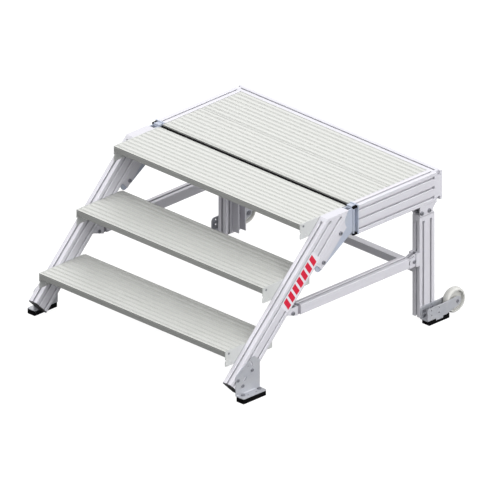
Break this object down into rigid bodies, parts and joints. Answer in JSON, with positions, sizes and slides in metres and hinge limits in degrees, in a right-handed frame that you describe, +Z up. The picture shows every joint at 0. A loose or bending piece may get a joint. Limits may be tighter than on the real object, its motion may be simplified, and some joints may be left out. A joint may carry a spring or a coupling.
{
  "type": "mobile ladder stand",
  "caption": "Low rolling step platform: ribbed treads on sloping slotted aluminium profiles, a deck on braced rear legs, rubber feet and tilt-to-roll wheels.",
  "frame": {"origin": "on the floor, at the middle of the bounding box seen from above", "axes": "+X to the right of a person who climbs the stand, +Y the way they face (from the steps to the deck), +Z up"},
  "size_m": [1.166, 1.2304, 0.608],
  "materials": {
    "aluminium_profile": "satin",
    "tread_aluminium": "satin",
    "end_plate_aluminium": "satin",
    "cap_aluminium": "satin",
    "zinc_plate": "satin",
    "steel_plate": "satin",
    "black_plastic": "matte",
    "grey_plastic": "matte",
    "pad_rubber": "matte",
    "wheel_plastic": "matte",
    "bush_nylon": "matte",
    "dark_bolt": "satin",
    "screw_steel": "satin",
    "label_film": "gloss"
  },
  "bodies": {
    "frame": {"axle_bolts": "dark_bolt", "deck_buffers": "pad_rubber", "deck_ledges": "aluminium_profile", "deck_spacers": "zinc_plate", "foot_bolts": "dark_bolt", "frame_bolts": "dark_bolt", "front_beam": "aluminium_profile", "front_plank": "tread_aluminium", "gap_seal": "pad_rubber", "left_corner_bracket": "zinc_plate", "left_coupling_channel": "aluminium_profile", "left_coupling_gusset": "zinc_plate", "left_foot_plate": "steel_plate", "left_leg": "aluminium_profile", "left_leg_bracket": "aluminium_profile", "left_leg_channel": "aluminium_profile", "left_side_beam": "aluminium_profile", "left_stringer": "aluminium_profile", "left_strut": "aluminium_profile", "left_wheel_bracket": "steel_plate", "leg_top_caps": "cap_aluminium", "lower_tread": "tread_aluminium", "lower_tread_left_plate": "end_plate_aluminium", "lower_tread_right_plate": "end_plate_aluminium", "middle_support": "aluminium_profile", "middle_tread": "tread_aluminium", "middle_tread_left_plate": "end_plate_aluminium", "middle_tread_right_plate": "end_plate_aluminium", "rear_beam": "aluminium_profile", "rear_beam_covers": "cap_aluminium", "rear_cross_bar": "aluminium_profile", "rear_plank": "tread_aluminium", "right_corner_bracket": "zinc_plate", "right_coupling_channel": "aluminium_profile", "right_coupling_gusset": "zinc_plate", "right_foot_plate": "steel_plate", "right_leg": "aluminium_profile", "right_leg_bracket": "aluminium_profile", "right_leg_channel": "aluminium_profile", "right_side_beam": "aluminium_profile", "right_stringer": "aluminium_profile", "right_strut": "aluminium_profile", "right_wheel_bracket": "steel_plate", "rubber_pads": "pad_rubber", "stringer_foot_caps": "black_plastic", "stringer_label": "label_film", "stringer_top_caps": "cap_aluminium", "strut_caps": "grey_plastic", "strut_front_brackets": "aluminium_profile", "strut_lugs": "cap_aluminium", "strut_rear_joints": "aluminium_profile", "tread_bolts": "dark_bolt", "tread_screws": "screw_steel", "upper_tread": "tread_aluminium", "upper_tread_left_plate": "end_plate_aluminium", "upper_tread_right_plate": "end_plate_aluminium"},
    "left_wheel": {"left_wheel": "wheel_plastic", "left_wheel_bush": "bush_nylon"},
    "right_wheel": {"right_wheel": "wheel_plastic", "right_wheel_bush": "bush_nylon"}
  },
  "joints": [
    {"name": "left_wheel_spin", "type": "hinge", "parent": "frame", "child": "left_wheel", "pos_m": [-0.56, 0.56423, 0.056], "axis": [1, 0, 0], "continuous": true},
    {"name": "right_wheel_spin", "type": "hinge", "parent": "frame", "child": "right_wheel", "pos_m": [0.56, 0.56423, 0.056], "axis": [1, 0, 0], "continuous": true}
  ]
}
